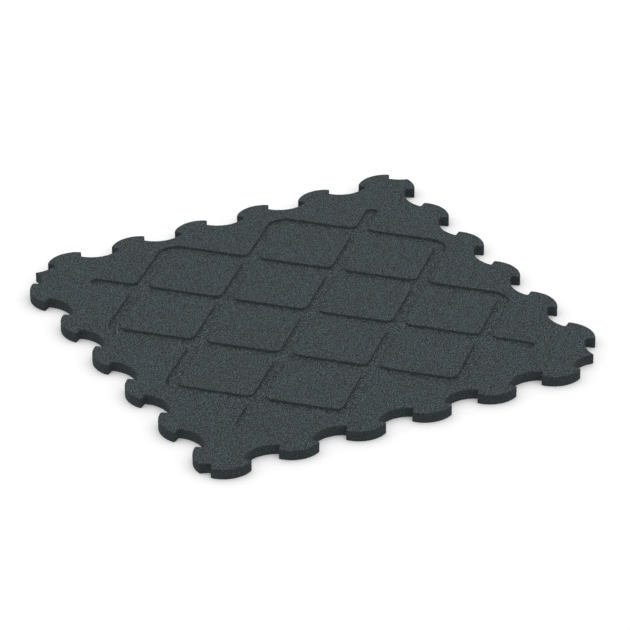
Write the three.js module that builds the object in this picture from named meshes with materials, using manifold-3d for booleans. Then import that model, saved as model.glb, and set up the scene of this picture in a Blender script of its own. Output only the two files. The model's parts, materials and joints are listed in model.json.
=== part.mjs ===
// Interlocking gym floor tile of bonded rubber granulate, pressed as one piece.
// Millimetres, +Z up. The origin is the middle of the tile on its underside, with X and Y along the sides.

import * as THREE from 'three';
import { mergeVertices } from 'three/addons/utils/BufferGeometryUtils.js';
import Module from 'manifold-3d';

const wasm = await Module();
wasm.setup();

// Whole tile
const LAID_SIZE = 1000; // side of the square that one tile covers once it is laid
const THICKNESS = 25;
const TABS_PER_SIDE = 6;

// Interlocking edge, measured from the mean line of a side
const TAB_REACH = 27.8; // crown of a tab beyond the mean line; the bed of a socket lies as deep
const SHOULDER_HEIGHT = 1; // low shoulder of a tab above the mean line
const FLANK_OVERHANG = 12.8; // how far each flank leans out over its own foot
const TAB_LEAN = 7.5; // how far both flanks stand off to one side of the tab's middle
const TIP_RADIUS = 3; // rounding of the tips and feet of the flanks, in plan
const JOINT_GAP = 1.5; // clearance between two tiles that are laid together

// Channels in the top face, on a square grid turned by 45 degrees
const CHANNEL_SPACING = 206.2; // between the middles of neighbouring parallel channels
const GRID_REACH = 2; // squares of the channel grid from the tile's middle to the outer loop
const CHANNEL_WIDTH = 29;
const CHANNEL_DEPTH = 6;
const PAD_CORNER_RADIUS = 17; // upright corners of the raised pads and of the field around them
const STUB_LENGTH = 105; // diagonal channels beyond the outer loop, to the middle of their round end

// Smoothness of the curves
const CROWN_DIVISIONS = 10;
const CORNER_DIVISIONS = 5;
const TIP_DIVISIONS = 2;

const RUBBER = new THREE.MeshStandardMaterial({ color: 0x42494c, roughness: 0.92, metalness: 0 });

const pitch = LAID_SIZE / TABS_PER_SIDE;
const quarterTurn = Math.PI / 2;

// A point of an outline, and the radius that rounds it where it is a corner
function corner(x, y, radius = 0) {
  return { x, y, radius };
}

// Arc that rounds one corner between its two neighbours
function roundedCorner(before, at, after, divisions) {
  const point = new THREE.Vector2(at.x, at.y);
  const back = new THREE.Vector2(before.x, before.y).sub(point).normalize();
  const on = new THREE.Vector2(after.x, after.y).sub(point).normalize();
  const halfAngle = back.angleTo(on) / 2;
  const toCentre = back.clone().add(on).setLength(at.radius / Math.sin(halfAngle));
  const centre = point.clone().add(toCentre);
  const reach = at.radius / Math.tan(halfAngle);
  const start = point.clone().addScaledVector(back, reach).sub(centre);
  const end = point.clone().addScaledVector(on, reach).sub(centre);
  const sweep = Math.sign(start.cross(end)) * start.angleTo(end);
  return Array.from({ length: divisions + 1 }, (_, i) =>
    start.clone().rotateAround(new THREE.Vector2(), (sweep * i) / divisions).add(centre));
}

// Points of an outline or an open line with its corners rounded
function roundedLine(corners, divisions, closed) {
  const count = corners.length;
  return corners.flatMap((at, i) => {
    const isEnd = !closed && (i === 0 || i === count - 1);
    if (at.radius === 0 || isEnd) return [new THREE.Vector2(at.x, at.y)];
    return roundedCorner(corners[(i + count - 1) % count], at, corners[(i + 1) % count], divisions);
  });
}

// Crown of a tab or bed of a socket: an arc about the middle of its half pitch.
// Its left end is the low shoulder, its right end the high tip. slack widens it or narrows it.
function crownArc(middle, direction, slack) {
  const flankReach = pitch / 4 + FLANK_OVERHANG / 2 + slack;
  const left = flankReach + TAB_LEAN;
  const right = flankReach - TAB_LEAN;
  const rise = TAB_REACH - SHOULDER_HEIGHT;
  const radius = (left ** 2 + rise ** 2) / (2 * rise);
  const from = -Math.asin(left / radius);
  const to = Math.asin(right / radius);
  return Array.from({ length: CROWN_DIVISIONS + 1 }, (_, i) => {
    const angle = from + ((to - from) * i) / CROWN_DIVISIONS;
    const height = TAB_REACH - radius * (1 - Math.cos(angle));
    const isTip = i === 0 || i === CROWN_DIVISIONS;
    return corner(middle + radius * Math.sin(angle), direction * height, isTip ? TIP_RADIUS : 0);
  });
}

// Edge line of the lower (side -1) or upper (side 1) side, from far left of the tile to far right of it.
// Tabs and sockets take turns each half pitch, counted from the left corner, and the first one points down.
function edgeLine(side, firstHalf, lastHalf) {
  const mean = side * (LAID_SIZE - JOINT_GAP) / 2;
  const corners = [];
  for (let half = firstHalf; half <= lastHalf; half += 1) {
    const direction = half % 2 === 0 ? -1 : 1;
    const slack = (direction === side ? -JOINT_GAP : JOINT_GAP) / 2;
    const middle = -LAID_SIZE / 2 + (half + 0.5) * pitch / 2;
    corners.push(...crownArc(middle, direction, slack));
  }
  const start = corner(-LAID_SIZE, corners[0].y);
  const end = corner(LAID_SIZE, corners[corners.length - 1].y);
  const line = roundedLine([start, ...corners, end], TIP_DIVISIONS, false);
  return line.map((point) => point.setY(point.y + mean));
}

// Band between the lower and the upper edge line. With an overrun, the lower line keeps one more socket
// past the left corner and the upper line one more past the right corner.
function edgeBand(overrun) {
  const lastHalf = 2 * TABS_PER_SIDE - 1;
  return [...edgeLine(-1, -overrun, lastHalf), ...edgeLine(1, 0, lastHalf + overrun).reverse()];
}

// Closed solid between two heights, with a plan of outline points
function prism(outline, bottom, top) {
  const plan = new THREE.Shape(outline);
  const geometry = new THREE.ExtrudeGeometry(plan, { depth: top - bottom, bevelEnabled: false });
  geometry.translate(0, 0, bottom);
  geometry.deleteAttribute('normal');
  geometry.deleteAttribute('uv');
  const merged = mergeVertices(geometry);
  return new wasm.Manifold(new wasm.Mesh({
    numProp: 3,
    vertProperties: merged.getAttribute('position').array,
    triVerts: Uint32Array.from(merged.getIndex().array),
  }));
}

// Tile body: the band of the lower and upper sides, where it crosses the band of the left and right sides,
// which is its mirror image in the falling diagonal. The first band's overrun trims the tab of a left or
// right side that stands in its way at the lower left and upper right corners.
function tileBody() {
  const mirrored = edgeBand(0).map((point) => new THREE.Vector2(-point.y, -point.x));
  return prism(edgeBand(1), 0, THICKNESS).intersect(prism(mirrored, 0, THICKNESS));
}

// Turn a plan from the channels' own axes to the tile's
function turned(points) {
  const middle = new THREE.Vector2();
  return points.map((point) => point.clone().rotateAround(middle, quarterTurn / 2));
}

// Outer outline of the channel network: a cross of squares with a round-ended stub on each of its arms
function networkOutline() {
  const half = CHANNEL_WIDTH / 2;
  const near = (GRID_REACH - 1) * CHANNEL_SPACING + half;
  const far = GRID_REACH * CHANNEL_SPACING + half;
  const stubEnd = far + STUB_LENGTH;
  const turnRadius = PAD_CORNER_RADIUS + CHANNEL_WIDTH;
  const arm = [
    corner(far, -near, turnRadius),
    corner(far, -half, PAD_CORNER_RADIUS),
    corner(stubEnd, -half, half),
    corner(stubEnd, half, half),
    corner(far, half, PAD_CORNER_RADIUS),
    corner(far, near, turnRadius),
    corner(near, near, PAD_CORNER_RADIUS),
  ];
  const arms = [0, 1, 2, 3].flatMap((turn) => arm.map(({ x, y, radius }) => {
    const point = new THREE.Vector2(x, y).rotateAround(new THREE.Vector2(), turn * quarterTurn);
    return corner(point.x, point.y, radius);
  }));
  return turned(roundedLine(arms, CORNER_DIVISIONS, true));
}

// Outline of the pad in one square of the channel grid, named by its column and row
function padOutline(column, row) {
  const half = (CHANNEL_SPACING - CHANNEL_WIDTH) / 2;
  const x = (column + 0.5) * CHANNEL_SPACING;
  const y = (row + 0.5) * CHANNEL_SPACING;
  const corners = [[-1, -1], [1, -1], [1, 1], [-1, 1]].map(([right, up]) =>
    corner(x + right * half, y + up * half, PAD_CORNER_RADIUS));
  return turned(roundedLine(corners, CORNER_DIVISIONS, true));
}

// Space of the channels: the network's outline with the pads left standing.
// The pads fill the grid's squares, all but its four corner squares.
function channelSpace() {
  const floor = THICKNESS - CHANNEL_DEPTH;
  const ceiling = THICKNESS + CHANNEL_DEPTH;
  const isOuter = (index) => index === -GRID_REACH || index === GRID_REACH - 1;
  let space = prism(networkOutline(), floor, ceiling);
  for (let column = -GRID_REACH; column < GRID_REACH; column += 1) {
    for (let row = -GRID_REACH; row < GRID_REACH; row += 1) {
      if (isOuter(column) && isOuter(row)) continue;
      const pad = prism(padOutline(column, row), floor - CHANNEL_DEPTH, ceiling + CHANNEL_DEPTH);
      space = space.subtract(pad);
    }
  }
  return space;
}

function meshOf(solid, name, material) {
  const { numProp, vertProperties, triVerts } = solid.getMesh();
  const geometry = new THREE.BufferGeometry();
  geometry.setAttribute('position', new THREE.BufferAttribute(vertProperties, numProp));
  geometry.setIndex(new THREE.BufferAttribute(triVerts, 1));
  geometry.computeVertexNormals();
  const mesh = new THREE.Mesh(geometry, material);
  mesh.name = name;
  return mesh;
}

const tile = new THREE.Group();
tile.add(meshOf(tileBody().subtract(channelSpace()), 'floor_tile', RUBBER));

export default tile;
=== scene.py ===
"""Looks of an interlocking gym floor tile of bonded rubber granulate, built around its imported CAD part.

All lengths are in metres, in the part's own frame: +Z up, origin in the middle of the tile's underside.
"""

import json
import logging
import math
from collections.abc import Callable
from dataclasses import dataclass, field
from enum import Enum
from typing import Any

import bmesh
import bpy
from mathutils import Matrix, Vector

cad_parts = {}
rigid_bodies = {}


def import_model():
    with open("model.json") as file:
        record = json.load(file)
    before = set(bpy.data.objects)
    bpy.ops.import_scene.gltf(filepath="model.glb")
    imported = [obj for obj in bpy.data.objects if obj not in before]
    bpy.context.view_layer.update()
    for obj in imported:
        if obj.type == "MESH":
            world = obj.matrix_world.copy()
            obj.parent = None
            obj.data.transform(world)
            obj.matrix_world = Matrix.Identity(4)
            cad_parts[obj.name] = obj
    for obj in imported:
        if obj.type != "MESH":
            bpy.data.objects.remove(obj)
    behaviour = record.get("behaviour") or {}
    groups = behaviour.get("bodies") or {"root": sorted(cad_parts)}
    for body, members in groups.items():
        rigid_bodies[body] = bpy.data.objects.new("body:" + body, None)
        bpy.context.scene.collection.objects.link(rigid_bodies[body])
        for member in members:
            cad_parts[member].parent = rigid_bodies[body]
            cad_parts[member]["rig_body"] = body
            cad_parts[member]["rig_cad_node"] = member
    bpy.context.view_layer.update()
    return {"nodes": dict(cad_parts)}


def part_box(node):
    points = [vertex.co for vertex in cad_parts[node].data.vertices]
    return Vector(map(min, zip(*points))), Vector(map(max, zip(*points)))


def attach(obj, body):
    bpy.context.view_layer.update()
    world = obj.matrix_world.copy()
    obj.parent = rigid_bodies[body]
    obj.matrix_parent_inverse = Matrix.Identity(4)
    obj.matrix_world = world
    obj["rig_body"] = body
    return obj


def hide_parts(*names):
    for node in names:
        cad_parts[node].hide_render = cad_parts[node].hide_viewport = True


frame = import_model()

WALL_NOTE = "wall"  # mesh attribute that is one on the walls and nought on the flat faces
MIDDLE = 0.5  # middle of what a noise texture gives
WHITE = (1.0, 1.0, 1.0, 1.0)
Colour = tuple[float, float, float]
Edge = bmesh.types.BMEdge
Face = bmesh.types.BMFace

log = logging.getLogger("gym_tile")


@dataclass(frozen=True)
class Number:
    """A socket that carries a number, for use in Python expressions."""

    board: "NodeBoard"
    socket: bpy.types.NodeSocket

    def __add__(self, other: "Number | float") -> "Number":
        """This number plus another."""
        return self.board.maths("ADD", self, other)

    def __sub__(self, other: "Number | float") -> "Number":
        """This number less another."""
        return self.board.maths("SUBTRACT", self, other)

    def __rsub__(self, other: float) -> "Number":
        """A plain number less this one."""
        return self.board.maths("SUBTRACT", other, self)

    def __mul__(self, other: "Number | float") -> "Number":
        """This number times another."""
        return self.board.maths("MULTIPLY", self, other)

    def __pow__(self, other: float) -> "Number":
        """This number to the power of a plain one."""
        return self.board.maths("POWER", self, other)

    def __gt__(self, other: "Number | float") -> "Number":
        """One where this number is the greater, nought elsewhere."""
        return self.board.maths("GREATER_THAN", self, other)

    __radd__ = __add__
    __rmul__ = __mul__


@dataclass
class NodeBoard:
    """The node tree of one material or of the world, emptied and ready for new nodes.

    Args:
        owner: the material or world that holds the tree.
    """

    owner: bpy.types.Material | bpy.types.World
    tree: bpy.types.NodeTree = field(init=False)

    def __post_init__(self) -> None:
        """Switches the nodes on and clears them."""
        self.owner.use_nodes = True
        self.tree = self.owner.node_tree
        self.tree.nodes.clear()

    def node(self, kind: str, settings: dict[str, Any] | None = None, **values: Any) -> bpy.types.Node:
        """Adds a node, sets its options and then its sockets.

        Args:
            kind: the node's type, such as ShaderNodeBump.
            settings: options of the node itself, set before any socket.
            values: what each input holds, by its name with underscores for spaces.

        Returns:
            The new node.
        """
        made = self.tree.nodes.new(kind)
        for name, setting in (settings or {}).items():
            setattr(made, name, setting)
        for name, value in values.items():
            title = name.replace("_", " ")
            self.feed(next(s for s in made.inputs if s.name == title and s.enabled), value)
        return made

    def feed(self, socket: bpy.types.NodeSocket, value: Any) -> None:
        """Links or sets one input.

        Args:
            socket: the input to fill.
            value: a Number, another node's output, or a constant.
        """
        source = value.socket if isinstance(value, Number) else value
        if isinstance(source, bpy.types.NodeSocket):
            self.tree.links.new(source, socket)
        else:
            socket.default_value = source

    def maths(self, operation: str, *terms: Number | float) -> Number:
        """Adds one Math node.

        Args:
            operation: the node's operation.
            terms: its inputs in order.

        Returns:
            The node's result.
        """
        made = self.node("ShaderNodeMath", {"operation": operation})
        for socket, term in zip(made.inputs, terms):
            self.feed(socket, term)
        return Number(self, made.outputs[0])

    def number(self, node: bpy.types.Node, output: str) -> Number:
        """One output of a node, as a Number."""
        return Number(self, node.outputs[output])

    def place(self) -> bpy.types.NodeSocket:
        """The surface point in the object's own coordinates."""
        return self.node("ShaderNodeTexCoord").outputs["Object"]

    def tint(self, factor: Number, low: Colour | bpy.types.NodeSocket, high: Colour) -> bpy.types.NodeSocket:
        """Mixes two colours.

        Args:
            factor: nought for the first colour, one for the second.
            low: first colour, linear, or the output that carries it.
            high: second colour, linear.

        Returns:
            The mixed colour.
        """
        first = low if isinstance(low, bpy.types.NodeSocket) else (*low, 1.0)
        mix = self.node("ShaderNodeMix", {"data_type": "RGBA"}, Factor=factor, A=first, B=(*high, 1.0))
        return next(s for s in mix.outputs if s.enabled)


@dataclass(frozen=True)
class RubberGranulate:
    """Finish of crumbs of tyre rubber, bonded under pressure: dark slate with a pale speckle."""

    crumb: float = 0.0018  # width of one crumb of rubber
    dust: float = 0.0011  # width of the dust between them, which shows only in the relief
    grain: float = 0.0023  # width of the fine crumbs that fill the gaps
    patch: float = 0.09  # width of the faint uneven patches from mixing
    dark: Colour = (0.0087, 0.0121, 0.0135)  # tone between the pale crumbs
    pale: Colour = (0.1310, 0.1718, 0.1891)  # tone of the palest crumbs
    smooth_wall_painted_shade: Colour = (0.0305, 0.0388, 0.0432)  # smooth tone of the walls, a little darker than the speckle: less speckle, and painted shade on the walls
    smooth_wall_shade_share: float = 0.65  # how much of that smooth, painted-shade tone covers the speckle
    rarity: float = 4.0  # power that leaves few crumbs pale
    crumb_share: float = 0.45  # how much the crumbs give to the speckle
    grain_rarity: float = 3.0  # power that leaves few of the fine crumbs pale
    grain_share: float = 2.4  # how much the fine crumbs give
    depth: float = 0.27  # how far the speckle sinks below its pale crumbs
    patch_strength: float = 0.03
    patch_detail: float = 3.0
    crumb_height: float = 0.0003  # relief of the flat faces
    crumb_part: float = 0.7  # how much of the relief the crumbs give, with the dust giving the rest
    roughness: float = 0.86
    sheen_level: float = 0.3  # reflection next to that of smooth rubber, which is 0.5

    def material(self) -> bpy.types.Material:
        """Builds the material.

        Returns:
            The finished material.
        """
        made = bpy.data.materials.new("rubber_granulate_speckled")
        board = NodeBoard(made)
        place = board.place()
        crumbs = board.node("ShaderNodeTexVoronoi", {"feature": "F1"}, Vector=place, Scale=1 / self.crumb)
        dust = board.node("ShaderNodeTexVoronoi", {"feature": "F1"}, Vector=place, Scale=1 / self.dust)
        patches = board.node(
            "ShaderNodeTexNoise", Vector=place, Scale=1 / self.patch, Detail=self.patch_detail
        )
        shade = board.number(board.node("ShaderNodeSeparateColor", Color=crumbs.outputs["Color"]), "Red")
        grain = board.node("ShaderNodeTexNoise", Vector=place, Scale=1 / self.grain, Detail=0.0)
        fine = Number(board, grain.outputs[0])
        pale_crumbs = shade**self.rarity * self.crumb_share
        pale_grains = fine**self.grain_rarity * self.grain_share
        drift = (Number(board, patches.outputs[0]) - MIDDLE) * self.patch_strength
        speckle = pale_crumbs + pale_grains - self.depth + drift
        speckled = board.tint(speckle, self.dark, self.pale)
        wall = board.number(board.node("ShaderNodeAttribute", {"attribute_name": WALL_NOTE}), "Fac")
        crumb_bumps = (1 - board.number(crumbs, "Distance")) * self.crumb_part
        dust_bumps = (1 - board.number(dust, "Distance")) * (1 - self.crumb_part)
        bump = board.node(
            "ShaderNodeBump", Strength=1.0, Distance=self.crumb_height, Height=crumb_bumps + dust_bumps
        )
        # On the walls a smoother tone, a little darker than the speckle, covers it: painted shade, with the
        # outer walls lifted again by the ground light.
        surface = board.node(
            "ShaderNodeBsdfPrincipled",
            Base_Color=board.tint(wall * self.smooth_wall_shade_share, speckled, self.smooth_wall_painted_shade),
            Roughness=self.roughness,
            Specular_IOR_Level=self.sheen_level,
            Normal=bump.outputs["Normal"],
        )
        board.node("ShaderNodeOutputMaterial", Surface=surface.outputs[0])
        return made


class Rim(Enum):
    """The lines where the tile's flat faces meet its walls."""

    TOP = "top"
    CHANNEL_FOOT = "channel_foot"
    UNDERSIDE = "underside"


@dataclass
class RubberTile:
    """The pressed tile: a fine copy of the CAD solid with rounded rims and crumbly walls.

    Args:
        node: CAD node that the tile stands for.
        slot: the record's material slot; not used.
    """

    node: str = "floor_tile"
    slot: str = "rubber_granulate"
    channel_depth: float = 0.006  # from the top face to the channels' floor
    pad_reach: float = 0.3  # no raised pad is wider than this along X
    rim_step: float = 0.0026  # length of one face along a rim
    wall_rows: int = 7  # rows of faces down the outer wall
    rounding: dict[Rim, float] = field(
        default_factory=lambda: {Rim.TOP: 0.001, Rim.CHANNEL_FOOT: 0.0005, Rim.UNDERSIDE: 0.0015}
    )
    rounding_steps: dict[Rim, int] = field(
        default_factory=lambda: {Rim.TOP: 2, Rim.CHANNEL_FOOT: 1, Rim.UNDERSIDE: 2}
    )
    crumb_relief: float = 0.0007  # how far the crumbs of a wall stand out from its hollows
    channel_share: float = 0.5  # how rough the channels' walls are next to the outer wall
    crumb_size: float = 0.003  # width of the crumbs that stand out
    crumb_layers: int = 1  # finer layers on top of the crumbs' own noise
    wall_reach: float = 0.455  # the outer wall lies further out than this along X or Y, and no channel does
    smooth_angle: float = 60.0  # degrees between two faces, up to which they are shaded as one
    quad_angle: float = 1.0  # degrees between two triangles of one flat wall face
    quad_shape: float = 180.0  # degrees: triangles are joined to quads of any shape
    level_normal: float = 0.999  # least upward share of the normal of a level face
    upright_normal: float = 0.01  # greatest upward share of the normal of a wall
    snap: float = 0.00001  # how near two heights or points count as one

    def __post_init__(self) -> None:
        """Reads the tile's heights from the CAD node."""
        low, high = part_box(self.node)
        self.underside, self.top = low.z, high.z
        self.channel_floor = self.top - self.channel_depth

    def levels(self) -> tuple[float, float, float]:
        """Heights of the flat faces."""
        return self.underside, self.channel_floor, self.top

    def is_at_level(self, height: float) -> bool:
        """Whether a height is that of a flat face."""
        return any(abs(height - level) < self.snap for level in self.levels())

    def is_flat(self, face: Face) -> bool:
        """Whether a face lies in one of the flat levels."""
        return self.is_at_level(face.calc_center_median().z) and abs(face.normal.z) > self.level_normal

    def is_wall(self, face: Face) -> bool:
        """Whether a face is upright."""
        return abs(face.normal.z) < self.upright_normal

    def is_level(self, edge: Edge) -> bool:
        """Whether an edge runs level."""
        return abs(edge.verts[0].co.z - edge.verts[1].co.z) < self.snap

    def rim_of(self, edge: Edge) -> Rim | None:
        """Finds which rim an edge belongs to.

        Args:
            edge: an edge of the tile's mesh, before any rounding.

        Returns:
            The rim, or None for an edge that isn't on one.
        """
        if len(edge.link_faces) != 2 or not self.is_level(edge):
            return None
        if not (any(map(self.is_wall, edge.link_faces)) and any(map(self.is_flat, edge.link_faces))):
            return None
        height = edge.verts[0].co.z
        for rim, level in zip((Rim.UNDERSIDE, Rim.CHANNEL_FOOT, Rim.TOP), self.levels()):
            if abs(height - level) < self.snap:
                return rim
        return None

    def choose_edges(self, piece: bpy.types.Object, wanted: Callable[[Edge], bool]) -> int:
        """Selects some edges of the piece in edit mode, and nothing else.

        Args:
            piece: the object being edited.
            wanted: says whether an edge is selected.

        Returns:
            How many edges are selected.
        """
        bpy.ops.mesh.select_mode(type="EDGE")
        bpy.ops.mesh.select_all(action="DESELECT")
        mesh = bmesh.from_edit_mesh(piece.data)
        chosen = [edge for edge in mesh.edges if wanted(edge)]
        for edge in chosen:
            edge.select_set(True)
        bmesh.update_edit_mesh(piece.data)
        return len(chosen)

    def choose_faces(self, piece: bpy.types.Object, wanted: Callable[[Face], bool]) -> int:
        """Selects some faces of the piece in edit mode, and nothing else.

        Args:
            piece: the object being edited.
            wanted: says whether a face is selected.

        Returns:
            How many faces are selected.
        """
        bpy.ops.mesh.select_mode(type="FACE")
        bpy.ops.mesh.select_all(action="DESELECT")
        mesh = bmesh.from_edit_mesh(piece.data)
        chosen = [face for face in mesh.faces if wanted(face)]
        for face in chosen:
            face.select_set(True)
        bmesh.update_edit_mesh(piece.data)
        return len(chosen)

    def merged_copy(self) -> bpy.types.Object:
        """Copies the CAD node and merges its loose triangles.

        Returns:
            The copy, in edit mode.
        """
        bpy.ops.object.select_all(action="DESELECT")
        source = frame["nodes"][self.node]
        source.select_set(True)
        bpy.context.view_layer.objects.active = source
        bpy.ops.object.duplicate()
        piece = bpy.context.active_object
        piece.parent = None
        piece.name = piece.data.name = "rubber_tile"
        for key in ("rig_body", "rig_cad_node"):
            if key in piece:
                del piece[key]
        bpy.ops.object.mode_set(mode="EDIT")
        bpy.ops.mesh.select_all(action="SELECT")
        bpy.ops.mesh.remove_doubles(threshold=self.snap)
        self.choose_faces(piece, self.is_wall)
        bpy.ops.mesh.tris_convert_to_quads(
            face_threshold=math.radians(self.quad_angle),
            shape_threshold=math.radians(self.quad_shape),
        )
        return piece

    def split_rims(self, piece: bpy.types.Object) -> None:
        """Cuts the walls into short faces along their rims.

        Args:
            piece: the tile, in edit mode.
        """

        def cuts(edge: Edge) -> int:
            """Number of cuts that an edge of a wall takes."""
            on_wall = self.is_level(edge) and any(map(self.is_wall, edge.link_faces))
            return round(edge.calc_length() / self.rim_step) - 1 if on_wall else 0

        mesh = bmesh.from_edit_mesh(piece.data)
        mesh.normal_update()
        for count in sorted({cuts(edge) for edge in mesh.edges} - {0, -1}, reverse=True):
            if self.choose_edges(piece, lambda edge: cuts(edge) == count):
                bpy.ops.mesh.subdivide(number_cuts=count)

    def round_rims(self, piece: bpy.types.Object) -> None:
        """Rounds the rims and the channels' feet.

        Args:
            piece: the tile, in edit mode.
        """
        for rim in Rim:
            self.choose_edges(piece, lambda edge: self.rim_of(edge) is rim)
            bpy.ops.mesh.bevel(
                offset=self.rounding[rim],
                segments=self.rounding_steps[rim],
                affect="EDGES",
                clamp_overlap=False,
                loop_slide=False,
            )

    def refill_flats(self, piece: bpy.types.Object) -> None:
        """Takes the flat faces out and fills each of their borders afresh.

        Args:
            piece: the tile, in edit mode.
        """
        self.choose_faces(piece, self.is_flat)
        bpy.ops.mesh.delete(type="ONLY_FACE")
        self.choose_edges(piece, lambda edge: not edge.link_faces)
        bpy.ops.mesh.delete(type="EDGE")
        pads = self.pad_borders(piece)
        if self.choose_edges(piece, lambda edge: edge.index in pads):
            bpy.ops.mesh.fill(use_beauty=True)
        for level in self.levels():
            self.choose_edges(
                piece, lambda edge: edge.is_boundary and abs(edge.verts[0].co.z - level) < self.snap
            )
            bpy.ops.mesh.fill(use_beauty=True)
        bpy.ops.mesh.select_all(action="SELECT")
        bpy.ops.mesh.normals_make_consistent(inside=False)

    def pad_borders(self, piece: bpy.types.Object) -> set[int]:
        """Finds the borders of the raised pads among the open borders.

        Args:
            piece: the tile, in edit mode, with its flat faces taken out.

        Returns:
            Indices of the border edges of the pads' tops.
        """
        mesh = bmesh.from_edit_mesh(piece.data)
        mesh.edges.index_update()
        found: set[int] = set()
        seen: set[int] = set()
        for start in mesh.edges:
            if start.index in seen or not start.is_boundary:
                continue
            border, waiting = [], [start]
            seen.add(start.index)
            while waiting:
                edge = waiting.pop()
                border.append(edge)
                for near in (n for vert in edge.verts for n in vert.link_edges):
                    if near.is_boundary and near.index not in seen:
                        seen.add(near.index)
                        waiting.append(near)
            across = [vert.co.x for edge in border for vert in edge.verts]
            on_top = abs(start.verts[0].co.z - self.top) < self.snap
            if on_top and max(across) - min(across) < self.pad_reach:
                found.update(edge.index for edge in border)
        return found

    def split_walls(self, piece: bpy.types.Object) -> None:
        """Cuts the outer wall into rows of faces, and marks the flat faces' borders sharp.

        Args:
            piece: the tile, in edit mode.
        """

        def is_upright(edge: Edge) -> bool:
            """Whether an edge runs down the outer wall."""
            return (
                not self.is_level(edge)
                and edge.calc_length() > self.channel_depth
                and all(map(self.is_wall, edge.link_faces))
            )

        self.choose_edges(piece, is_upright)
        bpy.ops.mesh.subdivide(number_cuts=self.wall_rows - 1)
        self.choose_edges(piece, lambda edge: len({self.is_flat(face) for face in edge.link_faces}) == 2)
        bpy.ops.mesh.mark_sharp()

    def note_walls(self, piece: bpy.types.Object) -> None:
        """Notes on the mesh which vertices belong to walls, for the finish.

        Args:
            piece: the tile, in object mode, before its walls are rough.
        """
        note = piece.data.attributes.new(WALL_NOTE, "FLOAT", "POINT")
        for vertex, mark in zip(piece.data.vertices, note.data):
            mark.value = float(not self.is_at_level(vertex.co.z))

    def roughen(self, piece: bpy.types.Object) -> None:
        """Raises crumbs on the walls and rims.

        Args:
            piece: the tile, in object mode.
        """
        rough = piece.vertex_groups.new(name="crumbs")
        for vertex, mark in zip(piece.data.vertices, piece.data.attributes[WALL_NOTE].data):
            outside = max(abs(vertex.co.x), abs(vertex.co.y)) > self.wall_reach
            rough.add([vertex.index], mark.value * (1.0 if outside else self.channel_share), "REPLACE")
        crumbs = bpy.data.textures.new("crumbs", type="CLOUDS")
        crumbs.noise_scale = self.crumb_size
        crumbs.noise_depth = self.crumb_layers
        relief = piece.modifiers.new("crumbs", type="DISPLACE")
        relief.texture = crumbs
        relief.texture_coords = "LOCAL"
        relief.direction = "NORMAL"
        relief.strength = self.crumb_relief
        relief.mid_level = MIDDLE
        relief.vertex_group = rough.name
        bpy.ops.object.modifier_apply(modifier=relief.name)

    def build(self) -> bpy.types.Object:
        """Builds the tile's mesh.

        Returns:
            The tile, not yet dressed.
        """
        piece = self.merged_copy()
        self.split_rims(piece)
        self.round_rims(piece)
        self.refill_flats(piece)
        self.split_walls(piece)
        bpy.ops.object.mode_set(mode="OBJECT")
        self.note_walls(piece)
        self.roughen(piece)
        bpy.ops.object.shade_smooth_by_angle(angle=math.radians(self.smooth_angle), keep_sharp_edges=True)
        return piece

    def dress(self, piece: bpy.types.Object, finish: RubberGranulate) -> None:
        """Gives the tile its finish and its place in the frame.

        Args:
            piece: the tile's object.
            finish: what it is made of.
        """
        piece.data.materials.clear()
        piece.data.materials.append(finish.material())
        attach(piece, "root")
        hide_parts(self.node)


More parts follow.
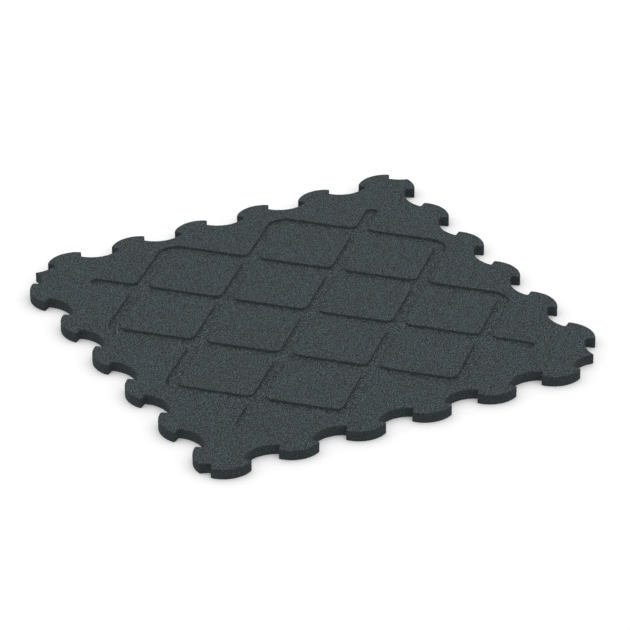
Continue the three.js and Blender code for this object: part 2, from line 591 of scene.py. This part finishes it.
@dataclass
class Studio:
    """A white floor under a white dome, a little stronger overhead and behind the tile.

    The floor shows shade but throws no light back on the tile.
    """

    floor_size: float = 80.0
    floor_tone: float = 1.0
    horizon_light: float = 0.74
    zenith_light: float = 1.20
    ground_light: float = 0.57  # what the tile's walls get from below the horizon
    back_light: float = 0.10  # how much stronger the dome is behind the tile, and weaker at the camera's side
    back_bearing: float = 61.6  # degrees from +X to the middle of the stronger side

    def build(self) -> bpy.types.Object:
        """Lays the floor.

        Returns:
            The floor's object.
        """
        bpy.ops.object.select_all(action="DESELECT")
        bpy.ops.mesh.primitive_plane_add(size=self.floor_size, location=(0, 0, 0))
        floor = bpy.context.active_object
        floor.name = "studio_floor"
        floor.visible_diffuse = False
        floor.visible_glossy = False
        return floor

    def dress(self, floor: bpy.types.Object) -> None:
        """Paints the floor and lights the scene.

        Args:
            floor: the floor's object.
        """
        paint = bpy.data.materials.new("studio_white")
        board = NodeBoard(paint)
        tone = (self.floor_tone, self.floor_tone, self.floor_tone, 1.0)
        surface = board.node("ShaderNodeBsdfDiffuse", Color=tone)
        board.node("ShaderNodeOutputMaterial", Surface=surface.outputs[0])
        floor.data.materials.append(paint)

        bpy.context.scene.world = bpy.context.scene.world or bpy.data.worlds.new("studio")
        board = NodeBoard(bpy.context.scene.world)
        bearing = board.node("ShaderNodeTexCoord").outputs["Generated"]
        along = board.node("ShaderNodeSeparateXYZ", Vector=bearing)
        across, backwards, upwards = (board.number(along, axis) for axis in "XYZ")
        turn = math.radians(self.back_bearing)
        lean = (across * math.cos(turn) + backwards * math.sin(turn)) * self.back_light
        dome = upwards * (self.zenith_light - self.horizon_light) + self.horizon_light + lean
        light = (upwards > 0.0) * (dome - self.ground_light) + self.ground_light
        sky = board.node("ShaderNodeBackground", Color=WHITE, Strength=light)
        board.node("ShaderNodeOutputWorld", Surface=sky.outputs[0])


@dataclass
class PhotoCamera:
    """The camera that took the photograph, worked out from the tile's outline in it."""

    aim: Vector = field(default_factory=lambda: Vector((0.02657, 0.02400, 0.0)))
    azimuth: float = -28.393
    elevation: float = 29.386
    distance: float = 9.5333
    lens: float = 235.91
    sensor: float = 36.0

    def build(self) -> bpy.types.Object:
        """Places the camera.

        Returns:
            The camera's object, set as the scene's camera.
        """
        turn, tilt = math.radians(self.azimuth), math.radians(self.elevation)
        back = Vector((math.sin(turn) * math.cos(tilt), -math.cos(turn) * math.cos(tilt), math.sin(tilt)))
        bpy.ops.object.camera_add(
            location=self.aim + back * self.distance,
            rotation=(-back).to_track_quat("-Z", "Y").to_euler(),
        )
        camera = bpy.context.active_object
        camera.data.sensor_width = self.sensor
        camera.data.lens = self.lens
        camera.data.dof.use_dof = False
        bpy.context.scene.camera = camera
        return camera


def report(piece: bpy.types.Object) -> None:
    """Logs a finished piece with its size.

    Args:
        piece: the object to report.
    """
    log.info("%s: %d faces, %.3f x %.3f x %.3f m", piece.name, len(piece.data.polygons), *piece.dimensions)


def main() -> None:
    """Builds the tile, the studio and the camera in order."""
    logging.basicConfig(level=logging.INFO, format="%(message)s")
    bpy.context.scene.view_settings.view_transform = "Standard"

    tile = RubberTile()
    piece = tile.build()
    tile.dress(piece, RubberGranulate())
    report(piece)

    studio = Studio()
    floor = studio.build()
    studio.dress(floor)
    report(floor)

    camera = PhotoCamera().build()
    log.info("%s: lens %.1f mm", camera.name, camera.data.lens)


if __name__ == "__main__":
    main()
